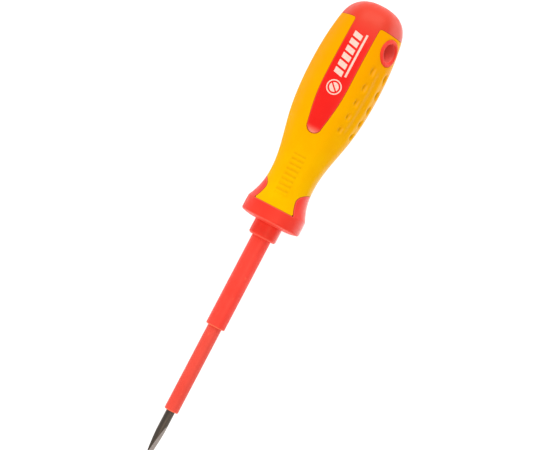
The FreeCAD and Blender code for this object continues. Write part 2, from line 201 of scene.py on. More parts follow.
def on_surface(station, turn, lift=0.0, radius=handle_radius):
    """Points at a height above the surface, along its normal."""
    station = np.asarray(station, float)
    turn = np.asarray(turn, float)
    r = radius(station, turn)
    r_station = (radius(station + STEP, turn) - radius(station - STEP, turn)) / (2 * STEP)
    r_turn = (radius(station, turn + STEP) - radius(station, turn - STEP)) / (2 * STEP)
    sine, cosine = np.sin(turn), np.cos(turn)
    slope = r_turn / np.maximum(r, 0.1)
    normal = np.stack([r_station, sine - slope * cosine, cosine + slope * sine], -1)
    normal /= np.linalg.norm(normal, axis=-1, keepdims=True)
    point = np.stack([-station, r * sine, r * cosine], -1)
    return point + normal * np.asarray(lift, float)[..., None]


# ---------------------------------------------------------------- outlines on the handle


def bezier(poles, count):
    t = np.linspace(0, 1, count)[:, None]
    a, b, c, d = (np.array(pole, float) for pole in poles)
    return a * (1 - t) ** 3 + 3 * b * t * (1 - t) ** 2 + 3 * c * t**2 * (1 - t) + d * t**3


def panel_outline():
    """Closed outline of the printed panel, as (station, half width)."""
    end_centre = PANEL_END + PANEL_END_R
    narrowing = PANEL_SHOULDER - end_centre
    side = bezier(
        [
            (PANEL_SHOULDER, PANEL_HALF),
            (PANEL_SHOULDER - 0.45 * narrowing, PANEL_HALF),
            (end_centre + 0.25 * narrowing, PANEL_NECK),
            (end_centre, PANEL_END_R),
        ],
        40,
    )
    angle = np.linspace(0, math.pi / 2, 16)[1:]
    arc = np.stack([end_centre - PANEL_END_R * np.sin(angle), PANEL_END_R * np.cos(angle)], -1)
    upper = np.vstack([[(BUTT + 20, PANEL_HALF)], side, arc])
    return np.vstack([upper, (upper * (1, -1))[::-1]])


def petal_outline():
    """Closed outline of one petal of the guard, as (station, half width)."""
    corner = bezier(PETAL_OUTLINE, 40)
    upper = np.vstack([[(-10, PETAL_BASE_HALF + 3)], [(GUARD_END, PETAL_BASE_HALF)], corner])
    return np.vstack([upper, (upper * (1, -1))[::-1]])


def distance_outside(a, b, outline):
    """Distance of points (a, b) to a closed outline, negative inside it."""
    shape = np.shape(a)
    points = np.stack([np.ravel(a), np.ravel(b)], -1)
    nearest = np.full(len(points), 1e9)
    inside = np.zeros(len(points), bool)
    for start, end in zip(outline, np.roll(outline, -1, axis=0)):
        edge = end - start
        if not edge.any():
            continue
        reach = points - start
        share = np.clip(reach @ edge / (edge @ edge), 0, 1)
        nearest = np.minimum(nearest, np.linalg.norm(reach - share[:, None] * edge, axis=1))
        crosses = (start[1] > points[:, 1]) != (end[1] > points[:, 1])
        with np.errstate(divide="ignore", invalid="ignore"):
            at = start[0] + (points[:, 1] - start[1]) * edge[0] / edge[1]
        inside ^= crosses & (points[:, 0] < at)
    return np.where(inside, -nearest, nearest).reshape(shape)


def both(first, second, rounding):
    """Smaller of two distances, with the corner between them rounded."""
    nearer = np.minimum(first, second)
    corner = np.hypot(np.maximum(rounding - first, 0), np.maximum(rounding - second, 0))
    return np.maximum(rounding, nearer) - corner


PANEL = panel_outline()
PETAL = petal_outline()
PANEL_CORNER = 1.1
PETAL_CORNER = 0.4
RIM = (0.3, 0.2, 1.3)  # how far in an edge starts to round, how far it drops, and its wall's depth


def behind_panel_and_seam(station, turn):
    """How far inside the grip a place lies, as seen from the panels and the butt cap."""
    lateral = handle_radius(station, turn) * np.sin(turn)
    return both(distance_outside(station, lateral, PANEL), SEAM - station, PANEL_CORNER)


def behind_guard(station, turn):
    """How far inside the grip a place lies, as seen from the guard and its petals."""
    lateral = handle_radius(station, turn) * np.cos(turn)
    return both(distance_outside(station, lateral, PETAL), station - GUARD_END, PETAL_CORNER)


def from_hang_axis(station, turn):
    """Distance of a place on the surface from the hang hole's axis."""
    lateral = handle_radius(station, turn) * np.sin(turn - HANG_TURN)
    return np.hypot(station - HANG, lateral)


def grip_region(station, turn):
    hole = from_hang_axis(station, turn) - RING_R
    return np.minimum(np.minimum(behind_panel_and_seam(station, turn), behind_guard(station, turn)), hole)


def cap_region(station, turn):
    return -behind_panel_and_seam(station, turn)


def guard_region(station, turn):
    return -behind_guard(station, turn)


# ---------------------------------------------------------------- mesh builder

SAME_PLACE = 1e-4  # points this near to each other are one point
LIP_EDGE = 0.15  # the edge mark where a lip starts to round
LIP_TURNS = np.radians([22, 45, 67, 90])  # the rings of a rounded lip


class Skin:
    """Vertices and faces of one piece, in the tool's frame.

    A vertex has two marks: edge runs from 0 on open surface to 1 deep in a joint, and the second is 0 on
    plain surface, and above or below it where light or shade is painted into the colour.  A face has
    the number of its material.
    """

    def __init__(self):
        self.points = np.zeros((0, 3))
        self.edge = np.zeros(0)
        self.painted_light = np.zeros(0)
        self.faces = []
        self.material = []

    def add_points(self, points, edge=0.0, painted_light=0.0):
        points = np.asarray(points, float).reshape(-1, 3)
        first = len(self.points)
        self.points = np.vstack([self.points, points])
        self.edge = np.append(self.edge, np.broadcast_to(np.ravel(edge), len(points)))
        self.painted_light = np.append(self.painted_light, np.broadcast_to(np.ravel(painted_light), len(points)))
        return np.arange(first, first + len(points))

    def add_faces(self, faces, material=0):
        self.faces.extend(tuple(int(v) for v in face) for face in faces)
        self.material.extend([material] * len(faces))

    def add_grid(self, points, closed=True, edge=0.0, painted_light=0.0):
        """Rows of points; each row closes on itself when closed is true."""
        rows, columns = points.shape[:2]
        edge = np.broadcast_to(edge, (rows, columns))
        painted_light = np.broadcast_to(painted_light, (rows, columns))
        numbers = self.add_points(points, edge, painted_light).reshape(rows, columns)
        following = np.roll(numbers, -1, axis=1)
        if not closed:
            numbers, following = numbers[:, :-1], following[:, :-1]
        quads = np.stack([numbers[:-1], following[:-1], following[1:], numbers[1:]], -1)
        self.add_faces(quads.reshape(-1, 4))

    def add_fan(self, ring, centre, material=0):
        tip = self.add_points([centre])[0]
        self.add_faces([(a, b, tip) for a, b in zip(ring, np.roll(ring, -1))], material)

    def make(self, name, materials, sharp_angle=38.0):
        """The finished object, in metres and in the CAD's frame; points that coincide become one."""
        keys = np.round(self.points / SAME_PLACE).astype(np.int64)
        _, kept, renamed = np.unique(keys, axis=0, return_index=True, return_inverse=True)
        renamed = np.ravel(renamed)
        faces = []
        material = []
        for face, number in zip(self.faces, self.material):
            corners = list(dict.fromkeys(int(renamed[v]) for v in face))
            if len(corners) > 2:
                faces.append(corners)
                material.append(number)
        used = sorted({v for face in faces for v in face})
        place = {v: i for i, v in enumerate(used)}
        kept = kept[used]
        faces = [[place[v] for v in face] for face in faces]
        mesh = bpy.data.meshes.new(name)
        mesh.from_pydata((self.points[kept] * MM).tolist(), [], faces)
        mesh.transform(TOOL)
        for attribute, values in (("edge", self.edge), ("painted_light", self.painted_light)):
            layer = mesh.attributes.new(attribute, "FLOAT", "POINT")
            layer.data.foreach_set("value", values[kept].astype(np.float32))
        for finish in materials:
            mesh.materials.append(finish)
        mesh.polygons.foreach_set("material_index", material)
        mesh.polygons.foreach_set("use_smooth", [True] * len(faces))
        mesh.set_sharp_from_angle(angle=math.radians(sharp_angle))
        mesh.validate()
        mesh.update()
        piece = bpy.data.objects.new(name, mesh)
        bpy.context.scene.collection.objects.link(piece)
        return piece


def boundary_loops(faces):
    """Closed chains of the edges that only one face uses, each in the faces' own direction."""
    following = {}
    edges = {(a, b) for face in faces for a, b in zip(face, face[1:] + face[:1])}
    for a, b in edges:
        if (b, a) not in edges:
            following[a] = b
    loops = []
    while following:
        start = next(iter(following))
        loop = [start]
        vertex = following.pop(start)
        while vertex != start:
            loop.append(vertex)
            vertex = following.pop(vertex)
        loops.append(loop)
    return loops


def settle(station, turn, region, target, radius):
    """Moves places along the surface until they are at the wanted distance inside the region."""
    for _ in range(5):
        r = np.maximum(radius(station, turn), 0.5)
        value = region(station, turn)
        d_station = (region(station + STEP, turn) - value) / STEP
        d_arc = (region(station, turn + STEP / r) - value) / STEP
        steep = np.maximum(d_station**2 + d_arc**2, 0.2)
        move = np.clip(value - target, -0.6, 0.6) / steep
        station = station - move * d_station
        turn = turn - move * d_arc / r
    return station, turn


def moulded_skin(skin, stations, columns, region, relief, radius=handle_radius):
    """Trims a fine grid to the region and gives its edges a rounded lip and a wall.

    relief gives the lift and the painted light or shade at a place.
    """
    inset, drop, wall = RIM
    turns = np.arange(columns) * TAU / columns
    station, turn = np.meshgrid(stations, turns, indexing="ij")
    depth = region(station, turn)
    corner = np.arange(station.size).reshape(station.shape)
    beside = np.roll(corner, -1, axis=1)
    quads = np.stack([corner[:-1], beside[:-1], beside[1:], corner[1:]], -1).reshape(-1, 4)
    quads = quads[np.ravel(depth)[quads].mean(axis=1) > inset]
    quads = without_spikes(quads)
    station, turn, depth = station.ravel().copy(), turn.ravel().copy(), depth.ravel()
    loops = boundary_loops([tuple(int(v) for v in quad) for quad in quads])
    near = inset + 1.0  # a loop further in than this is an end of the grid, not a lip
    lips = [np.array(loop) for loop in loops if depth[loop].mean() < near]
    for loop in lips:
        s, t = station[loop], np.unwrap(turn[loop])
        for _ in range(4):  # evens out the spacing round the loop
            s, t = settle(s, t, region, inset, radius)
            s = (np.roll(s, 1) + 2 * s + np.roll(s, -1)) / 4
            lap = np.round((t[-1] - t[0]) / TAU) * TAU
            before, after = np.roll(t, 1), np.roll(t, -1)
            before[0] -= lap
            after[-1] += lap
            t = (before + 2 * t + after) / 4
        station[loop], turn[loop] = settle(s, t, region, inset, radius)
    lift, painted_light = relief(station, turn)
    numbers = skin.add_points(on_surface(station, turn, lift, radius), 0.0, painted_light)
    skin.add_faces(numbers[quads])
    for loop in lips:
        s, t = station[loop], turn[loop]
        ring = numbers[loop]
        skin.edge[ring] = LIP_EDGE
        for angle in LIP_TURNS:
            s, t = settle(s, t, region, inset * (1 - math.sin(angle)), radius)
            lift, painted_light = relief(s, t)
            lower = on_surface(s, t, lift - drop * (1 - math.cos(angle)), radius)
            edge = LIP_EDGE + (1 - LIP_EDGE) * angle / LIP_TURNS[-1]
            ring = add_ring(skin, ring, lower, edge, painted_light)
        add_ring(skin, ring, on_surface(s, t, lift - wall, radius), 1.0, 0.0)


def add_ring(skin, ring, points, edge, painted_light):
    """Joins a ring of new points to a ring of the skin, on the open side of its faces."""
    outer = skin.add_points(points, edge, painted_light)
    skin.add_faces(np.stack([np.roll(ring, -1), ring, outer, np.roll(outer, -1)], -1))
    return outer


def without_spikes(quads):
    """Drops faces that hang on by one edge only, until none is left."""
    while True:
        edges = {}
        for number, quad in enumerate(quads.tolist()):
            for a, b in zip(quad, quad[1:] + quad[:1]):
                edges.setdefault((min(a, b), max(a, b)), []).append(number)
        shared = np.zeros(len(quads), int)
        for users in edges.values():
            if len(users) == 2:
                shared[users] += 1
        if shared.min() > 1:
            return quads
        quads = quads[shared > 1]


def turned(skin, profile, columns, marks):
    """Surface turned about the tool's axis from (x, radius) points, from back to front.

    marks has the edge mark of each point.
    """
    x, r = np.array(profile, float).T
    turns = np.arange(columns) * TAU / columns
    y, z = r[:, None] * np.sin(turns), r[:, None] * np.cos(turns)
    rows = np.stack([np.broadcast_to(x[:, None], y.shape), y, z], -1)
    skin.add_grid(rows[::-1], edge=np.array(marks)[::-1, None])


def rounded(corner_x, corner_r, size, steps=5):
    """Quarter round at a front outer corner, from its side to its face."""
    angle = np.linspace(0, math.pi / 2, steps + 1)
    return [(corner_x - size + size * math.sin(a), corner_r - size + size * math.cos(a)) for a in angle]


# ---------------------------------------------------------------- pieces


def valley_relief(station, turn, r, flank):
    """A shallow valley between the rows of dimples, with painted shade at its foot and a painted
    highlight on its far slope.
    """
    off_axis = np.angle(np.exp(1j * (turn - HANG_TURN - flank)))
    share = smooth_step(42, 50, station) * (1 - smooth_step(72, 79, station))
    # painted shade at the valley's foot and a painted highlight on its far slope
    painted_shade = bump_step((off_axis + math.radians(5)) / math.radians(13))
    painted_highlight = bump_step((off_axis - math.radians(12)) / math.radians(6))
    lift = -VALLEY_DEPTH * bump_step(off_axis * r / VALLEY_HALF)
    return lift * share, (0.16 * painted_shade - 0.5 * painted_highlight) * share, off_axis


def grip_relief(station, turn):
    """Oval dimples in a valley on each flank, and cross ribs over the neck.

    The second value is above zero where shade is painted into the colour and below zero where a highlight
    is painted.
    """
    lift = np.zeros(np.shape(station))
    painted_light = np.zeros(np.shape(station))
    r = handle_radius(station, turn)
    for flank in (0.0, math.pi):
        valley_lift, valley_painted_light, off_axis = valley_relief(station, turn, r, flank)
        lift = lift + valley_lift
        painted_light = painted_light + valley_painted_light
        for row, shade_strength, shift in DIMPLE_ROWS:
            off = (off_axis - row * DIMPLE_ROWS_APART) * r
            for i in range(DIMPLE_COUNT):  # they grow and spread towards the butt
                ahead = station - (DIMPLE_FIRST + 6.0 * i + 0.2 * i * i)
                long_half = 2.2 + 0.25 * i
                lift = lift - DIMPLE_DEPTH * bump_step(np.hypot(ahead / long_half, off / DIMPLE_HALF))
                # painted shade on each dimple's side towards the panel, and a painted highlight on its
                # far side
                near_half = 1.25 + 0.6 * row
                painted_shade_patch = bump_step(np.hypot(ahead / (0.85 * long_half), (off + shift) / near_half))
                painted_highlight_patch = bump_step(np.hypot(ahead / long_half, (off - 0.95) / 0.9))
                painted_light = painted_light * (1 - painted_shade_patch) + shade_strength * painted_shade_patch - 0.35 * painted_highlight_patch
    for i in range(RIB_COUNT):
        behind = station - (RIB_FIRST + RIB_PITCH * i)
        lateral = r * np.sin(turn)
        width = 1 - smooth_step(RIB_HALF - 0.7, RIB_HALF + 0.25, abs(lateral))
        lift = lift + RIB_HEIGHT * width * bump_step(behind / 0.85)
        # painted shade on the butt side of each rib
        painted_light = painted_light + 0.36 * width * bump_step((behind - 1.15) / 0.95)
    return lift, painted_light


def cap_relief(station, turn):
    """The panel's front end rolls down a little into the grip, with a painted highlight there."""
    lateral = handle_radius(station, turn) * np.sin(turn)
    inward = np.clip(-distance_outside(station, lateral, PANEL) / 1.9, 0, 1)
    near_end = 1 - smooth_step(PANEL_END + 0.8, PANEL_END + 3.6, station)
    front_side = np.cos(turn) > 0
    roll = (1 - inward) ** 2 * near_end * front_side
    # painted highlight on the panel's front end
    pale = np.clip((PANEL_END + 3.8 - station) / 3.8, 0, 1) ** 2 * front_side
    return -PANEL_ROLL * roll, pale


def no_relief(station, turn):
    return np.zeros(np.shape(station)), np.zeros(np.shape(station))


def guard_radius(station, turn):
    """Straight band, then a taper, then the petals' own surface a hair above the grip."""
    band = np.interp(station, [0.0, 4.0, GUARD_END], [GUARD_R, GUARD_R, GUARD_BACK_R])
    neck = handle_radius(station, turn) + PETAL_LIFT * (1 - smooth_step(GUARD_END, PETAL_TIP, station))
    return np.where(station < GUARD_END, band, neck)


def make_soft_grip():
    skin = Skin()
    stations = np.linspace(GUARD_END - 0.4, SEAM + 0.4, 244)
    moulded_skin(skin, stations, 252, grip_region, grip_relief)
    piece = skin.make("soft_grip_skin", [grip_finish()])
    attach(piece, "root")
    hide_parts("soft_grip")


def make_butt_cap(finish):
    skin = Skin()
    body = np.linspace(PANEL_END - 0.4, SEAM + 0.6, 144)
    first_turn = math.asin((body[-1] - DOME_CENTRE) / (BUTT - DOME_CENTRE))
    dome = DOME_CENTRE + (BUTT - DOME_CENTRE) * np.sin(np.linspace(first_turn, math.radians(88), 34)[1:])
    stations = np.append(body, dome)
    columns = 252
    moulded_skin(skin, stations, columns, cap_region, cap_relief)
    turns = np.arange(columns) * TAU / columns
    last = on_surface(np.full(columns, stations[-1]), turns)
    skin.add_fan(skin.add_points(last), (-BUTT, 0, 0))
    piece = skin.make("butt_cap_skin", [finish])
    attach(piece, "root")
    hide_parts("butt_cap")


def make_finger_guard(finish):
    """The guard's band and petals, then its rounded rim and its crowned face round the collar."""
    skin = Skin()
    columns = 240
    stations = np.linspace(GUARD_ROUNDING, PETAL_TIP + 0.4, 58)
    moulded_skin(skin, stations, columns, guard_region, no_relief, guard_radius)
    share = np.linspace(0, 1, 12)
    face_start = COLLAR_R + 0.25
    face_r = face_start + (GUARD_R - GUARD_ROUNDING - face_start) * share
    face = list(zip(CROWN * (1 - share**2.2), face_r))
    rim = rounded(0.0, GUARD_R, GUARD_ROUNDING, 7)
    inner_lip = [(CROWN - 0.12, COLLAR_R + 0.05), (CROWN - 1.5, COLLAR_R)]
    profile = rim + face[::-1][1:] + inner_lip
    # the rim's rounding is painted paler: partly edge wear, partly a painted highlight
    marks = [0.0] * 3 + [0.25] * (len(rim) - 3) + [0.1] * (len(face) - 1) + [0.6, 1.0]
    turned(skin, profile, columns, marks)
    piece = skin.make("finger_guard_skin", [finish])
    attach(piece, "root")
    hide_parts("finger_guard")


def make_nose_collar(finish):
    skin = Skin()
    side = [(x, COLLAR_R) for x in (-2.0, 0.9, 2.5, 4.5)]
    front = rounded(COLLAR_END, COLLAR_R, 1.1, 7)
    bore = [
        (COLLAR_END, OUTER_R + 0.25),
        (COLLAR_END - 0.15, OUTER_R + 0.08),
        (COLLAR_END - 1.5, OUTER_R),
    ]
    profile = side + front + bore
    # the front rounding is painted paler: partly edge wear, partly a painted highlight
    marks = [0.0] * 4 + [0.0, 0.1, 0.2, 0.3, 0.3, 0.2, 0.1, 0.0] + [0.3, 0.6, 1.0]
    turned(skin, profile, 96, marks)
    piece = skin.make("nose_collar_skin", [finish])
    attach(piece, "root")
    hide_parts("nose_collar")


def sleeve(name, node, slot, finish, start, end, radius, bore):
    """A tube along the blade, open at the front on what it is slipped over."""
    skin = Skin()
    plain = [(x, radius) for x in np.linspace(start, end - 0.6, 24)]
    lip = [(end, bore + 0.1), (end - 0.08, bore + 0.02), (end - 2.0, bore)]
    corner = rounded(end, radius, 0.4, 6)
    # the end's rounding is painted paler: partly edge wear, partly a painted highlight
    turned(skin, plain + corner + lip, 96, [0.0] * len(plain) + [0.3] * len(corner) + [0.5, 1.0, 1.0])
    piece = skin.make(name, [finish])
    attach(piece, "root")
    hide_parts(node)


def make_hang_bush(finish):
    """Raised ring at each mouth, joined by one smooth tube through the handle."""
    skin = Skin()
    columns = 96
    around = np.arange(columns) * TAU / columns
    rows = []
    for flank in (0.0, math.pi):
        half = []
        for reach, lift in RING_PROFILE:
            station = HANG + reach * np.cos(around)
            lateral = reach * np.sin(around)
            mouth = HANG_TURN + flank
            height = np.full(columns, OUTLINE[-1][1])
            for _ in range(6):  # settles on the height of the grip's surface round the mouth
                turn = mouth + np.arctan2(lateral, height)
                height = np.sqrt(np.maximum(handle_radius(station, turn) ** 2 - lateral**2, 1.0))
            out = height + lift
            y = out * math.sin(mouth) + lateral * math.cos(mouth)
            z = out * math.cos(mouth) - lateral * math.sin(mouth)
            half.append(np.stack([-station, y, z], -1))
        if flank:
            half = [np.roll(row[::-1], 1, axis=0) for row in half[::-1]]
        rows.extend(half)
    # the bore is marked to be painted lighter: painted light inside the hole
    bore = np.zeros(len(rows))
    bore[BORE_ROW:-BORE_ROW] = 1.0
    skin.add_grid(np.array(rows), painted_light=bore[:, None])
    piece = skin.make("hang_hole_bush_skin", [finish])
    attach(piece, "root")
    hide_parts("hang_hole_bush")


FLAT_STEPS = 12
ARC_STEPS = 24


def blade_section(x, shrink=0.0):
    """One ring round the blade: two flats and the two arcs between them."""
    slope = (BLADE_R - TIP_HALF) / (REACH - GRIND_START)
    half = BLADE_R - max(0.0, x - GRIND_START) * slope - shrink
    radius = BLADE_R - shrink
    half = min(half, radius * 0.9999)
    chord = math.sqrt(radius**2 - half**2)
    corner = math.asin(half / radius)
    flat = np.linspace(-1, 1, FLAT_STEPS + 1)[:-1] * chord
    turn = np.linspace(corner, -corner, ARC_STEPS + 1)[:-1]
    t = np.concatenate([flat, radius * np.cos(turn)])
    n = np.concatenate([np.full(FLAT_STEPS, half), radius * np.sin(turn)])
    t, n = np.append(t, -t), np.append(n, -n)
    y = n * math.sin(TIP_TURN) + t * math.cos(TIP_TURN)
    z = n * math.cos(TIP_TURN) - t * math.sin(TIP_TURN)
    return np.stack([np.full(len(t), x), y, z], -1)


def make_blade():
    """The round bar where it leaves its sleeve, then the ground tip with its flats in ground steel."""
    skin = Skin()
    bar = [blade_section(x) for x in np.linspace(BARE_START - 4, GRIND_START, 14)]
    skin.add_grid(np.array(bar)[::-1])
    ground = [blade_section(x) for x in np.linspace(GRIND_START, REACH - 0.12, 26)]
    ground.append(blade_section(REACH, 0.09))
    rows = np.array(ground)
    numbers = skin.add_points(rows, 0.0).reshape(rows.shape[:2])
    beside = np.roll(numbers, -1, axis=1)
    quads = np.stack([beside[:-1], numbers[:-1], numbers[1:], beside[1:]], -1)
    for column in range(quads.shape[1]):
        on_flat = column % (FLAT_STEPS + ARC_STEPS) < FLAT_STEPS
        skin.add_faces(quads[:, column], 1 if on_flat else 0)
    skin.add_fan(numbers[-1][::-1], (REACH, 0, 0), 1)
    piece = skin.make("blade_bar", [steel_finish(), ground_finish()], 25.0)
    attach(piece, "root")
    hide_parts("blade")


def make_print():
    """A plain mark without lettering: a slotted screw head, slanting bars and a thin line."""
    skin = Skin()

    def lay(station, lateral, closed=False):
        """Thin layer of ink over a grid of places on the front panel."""
        turn = np.arcsin(lateral / handle_radius(station, 0.0))
        top = on_surface(station, turn, np.full(station.shape, INK_LIFT))
        skin.add_grid(top, closed)

    head_station, head_lateral = 61.4, 0.1
    around = np.arange(72) * TAU / 72
    reach = np.linspace(2.7, 3.2, 4)[::-1, None]
    lay(head_station + reach * np.cos(around), head_lateral + reach * np.sin(around), True)
    head_r, slot_half = 2.0, 0.32
    off = np.linspace(slot_half, head_r - 0.07, 14)[:, None]
    chord = np.linspace(-1, 1, 24) * np.sqrt(head_r**2 - off**2)
    for side in (1, -1):
        station = head_station + side * (off - chord) * math.sqrt(0.5)
        lateral = head_lateral + side * (off + chord) * math.sqrt(0.5)
        lay(station, lateral)

    bar_start, bar_pitch, bar_length, bar_slant = 67.2, 3.35, 2.35, 0.9
    u, v = np.meshgrid(np.linspace(0, 1, 8), np.linspace(0, 1, 10), indexing="ij")
    for i in range(6):
        lay(bar_start + bar_pitch * i + bar_length * u - bar_slant * v, -3.0 + 3.9 * v)
    u, v = np.meshgrid(np.linspace(0, 1, 60), np.linspace(0, 1, 4), indexing="ij")
    lay(67.0 + 19.6 * u, 1.9 + 0.9 * v)
    piece = skin.make("panel_print", [print_finish()])
    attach(piece, "root")


# ---------------------------------------------------------------- materials


class Finish:
    """A material being drawn; textures sit in the object's own space, in metres."""

    def __init__(self, name):
        self.material = bpy.data.materials.new(name)
        self.material.use_nodes = True
        self.nodes = self.material.node_tree.nodes
        self.links = self.material.node_tree.links
        self.shader = self.nodes["Principled BSDF"]
        self.place = self.nodes.new("ShaderNodeTexCoord").outputs["Object"]

    def constant(self, **values):
        """Sets the shader's own inputs; an underscore stands for a space."""
        for name, value in values.items():
            self.shader.inputs[name.replace("_", " ")].default_value = value

    def noise(self, size_mm, detail=3.0, stretch=(1, 1, 1), roughness=0.5):
        """Cloudy noise with features of about the given size."""
        scaled = self.nodes.new("ShaderNodeMapping")
        scaled.inputs["Scale"].default_value = [factor / (size_mm * MM) for factor in stretch]
        self.links.new(self.place, scaled.inputs["Vector"])
        texture = self.nodes.new("ShaderNodeTexNoise")
        texture.inputs["Scale"].default_value = 1.0
        texture.inputs["Detail"].default_value = detail
        texture.inputs["Roughness"].default_value = roughness
        self.links.new(scaled.outputs["Vector"], texture.inputs["Vector"])
        return texture.outputs["Fac"]

    def component(self, vector, axis):
        split = self.nodes.new("ShaderNodeSeparateXYZ")
        self.links.new(vector, split.inputs["Vector"])
        return split.outputs[axis]

    def down_the_tool(self, first, last):
        """0 up to the first station, rising evenly to 1 at the last."""
        start, end = (guard_face.x - station * MM for station in (first, last))
        return self.remap(self.component(self.place, "X"), start, end, 0.0, 1.0)

    def polished_flank(self, first, weight):
        """Polish where the surface faces the hang hole's side, from a first share of facing it."""
        normal = self.nodes.new("ShaderNodeNewGeometry").outputs["Normal"]
        facing = self.remap(self.component(normal, "Y"), first, 1.0, 0.0, weight)
        self.connect(facing, "Coat Weight")
        self.constant(Coat_Roughness=0.12, Coat_IOR=1.5)

    def mark(self, name):
        """One of the skin's own marks, edge or tone."""
        attribute = self.nodes.new("ShaderNodeAttribute")
        attribute.attribute_name = name
        return attribute.outputs["Fac"]

    def remap(self, value, low, high, to_low, to_high):
        node = self.nodes.new("ShaderNodeMapRange")
        node.inputs["From Min"].default_value = low
        node.inputs["From Max"].default_value = high
        node.inputs["To Min"].default_value = to_low
        node.inputs["To Max"].default_value = to_high
        self.links.new(value, node.inputs["Value"])
        return node.outputs["Result"]

    def mix(self, factor, first, second):
        """Colour between two, each a colour or another node's output."""
        node = self.nodes.new("ShaderNodeMix")
        node.data_type = "RGBA"
        self.links.new(factor, node.inputs[0])
        for socket, colour in ((node.inputs[6], first), (node.inputs[7], second)):
            if isinstance(colour, tuple):
                socket.default_value = (*colour, 1)
            else:
                self.links.new(colour, socket)
        return node.outputs[2]

    def add(self, first, second):
        node = self.nodes.new("ShaderNodeMath")
        node.operation = "ADD"
        self.links.new(first, node.inputs[0])
        self.links.new(second, node.inputs[1])
        return node.outputs[0]

    def bump(self, height, rise_mm, strength=1.0):
        node = self.nodes.new("ShaderNodeBump")
        node.inputs["Strength"].default_value = strength
        node.inputs["Distance"].default_value = rise_mm * MM
        self.links.new(height, node.inputs["Height"])
        self.links.new(node.outputs["Normal"], self.shader.inputs["Normal"])

    def connect(self, value, socket):
        self.links.new(value, self.shader.inputs[socket])


JOINT = (0.3, 0.8, 0.0, 0.95)  # from where a lip darkens to where it is darkest, and how dark


def moulded(name, colours, roughness, grain_mm, grain_rise_mm):
    """Moulded plastic: cloudy colour, edges painted paler as part wear and part painted highlight, darker
    joints, a fine grain and uneven gloss.

    colours has body and cloud, groove deep in a joint, worn on edges and scuffs, which is partly wear and
    partly painted highlights and glints, toned for the painted light where the skin is marked, and on a
    piece with a painted sheen over its butt, butt.
    """
    finish = Finish(name)
    clouds = finish.remap(finish.noise(9.0, 4.0), 0.35, 0.65, 0.0, 1.0)
    body = finish.mix(clouds, colours["body"], colours["cloud"])
    # painted sheen: paler over the butt
    if "butt" in colours:
        body = finish.mix(finish.down_the_tool(80.0, 92.0), body, colours["butt"])
    # edges painted paler: partly edge wear, partly a painted highlight on the rims
    painted_highlight = finish.remap(finish.mark("edge"), 0.03, 0.3, 0.0, 0.75)
    # light scuffs: partly wear, partly painted glints
    scuffs_and_glints = finish.noise(1.7, 6.0, stretch=(0.5, 1, 1), roughness=0.62)
    scuffs_and_glints = finish.remap(scuffs_and_glints, 0.64, 0.76, 0.0, 0.6)
    body = finish.mix(finish.add(painted_highlight, scuffs_and_glints), body, colours["worn"])
    # painted light and shade where the skin is marked
    body = finish.mix(finish.mark("painted_light"), body, colours["painted_light_colour"])
    joint = finish.remap(finish.mark("edge"), *JOINT)
    finish.connect(finish.mix(joint, body, colours["groove"]), "Base Color")
    finish.connect(finish.remap(finish.noise(2.2, 5.0), 0.3, 0.7, *roughness), "Roughness")
    grain = finish.add(finish.noise(grain_mm, 2.0), finish.noise(3.0, 2.0))
    finish.bump(grain, grain_rise_mm)
    return finish


def grip_finish():
    """Matt yellow rubber, painted deeper towards the butt and lighter towards the neck as painted light,
    with painted shade in the dimples and painted highlights beside them.
    """
    finish = Finish("soft_yellow_grip")
    # painted light: lighter and more lemon towards the neck, deeper towards the butt
    body = finish.down_the_tool(20.0, 86.0)
    body = finish.mix(body, (0.92, 0.535, 0.0003), (0.92, 0.385, 0.0003))
    clouds = finish.remap(finish.noise(12.0, 4.0), 0.35, 0.65, 0.0, 0.3)
    body = finish.mix(clouds, body, (0.90, 0.360, 0.0003))
    # painted shade in dark olive: in the dimples, at the valley's foot and behind the ribs
    painted_shade = finish.remap(finish.mark("painted_light"), 0.03, 1.0, 0.0, 0.8)
    body = finish.mix(painted_shade, body, (0.45, 0.22, 0.006))
    # painted highlights beside the dimples and on the valley's far slope
    painted_highlight = finish.remap(finish.mark("painted_light"), -0.03, -0.8, 0.0, 0.8)
    body = finish.mix(painted_highlight, body, (0.99, 0.62, 0.120))
    joint = finish.remap(finish.mark("edge"), *JOINT)
    finish.connect(finish.mix(joint, body, (0.50, 0.07, 0.001)), "Base Color")
    finish.connect(finish.remap(finish.noise(1.6, 5.0), 0.3, 0.7, 0.48, 0.64), "Roughness")
    finish.bump(finish.add(finish.noise(0.22, 2.0), finish.noise(2.6, 2.0)), 0.035)
    finish.constant(IOR=1.45, Specular_IOR_Level=0.03, Specular_Tint=(1.0, 0.55, 0.02, 1))
    finish.polished_flank(0.88, 0.65)
    return finish.material


def red_finish():
    colours = {
        "body": (0.82, 0.013, 0.010),
        "cloud": (0.80, 0.010, 0.009),
        "groove": (0.46, 0.010, 0.008),
        # partly edge wear, partly a painted highlight on the rims
        "worn": (0.90, 0.075, 0.050),
        # painted highlight at the panel's front end
        "painted_light_colour": (0.98, 0.400, 0.310),
        # painted sheen over the dome at the butt
        "butt": (0.75, 0.054, 0.029),
    }
    finish = moulded("red_moulded_plastic", colours, (0.32, 0.48), 0.5, 0.015)
    finish.constant(IOR=1.45, Specular_IOR_Level=0.28, Specular_Tint=(1.0, 0.9, 0.8, 1))
    finish.polished_flank(0.55, 1.0)
    return finish.material


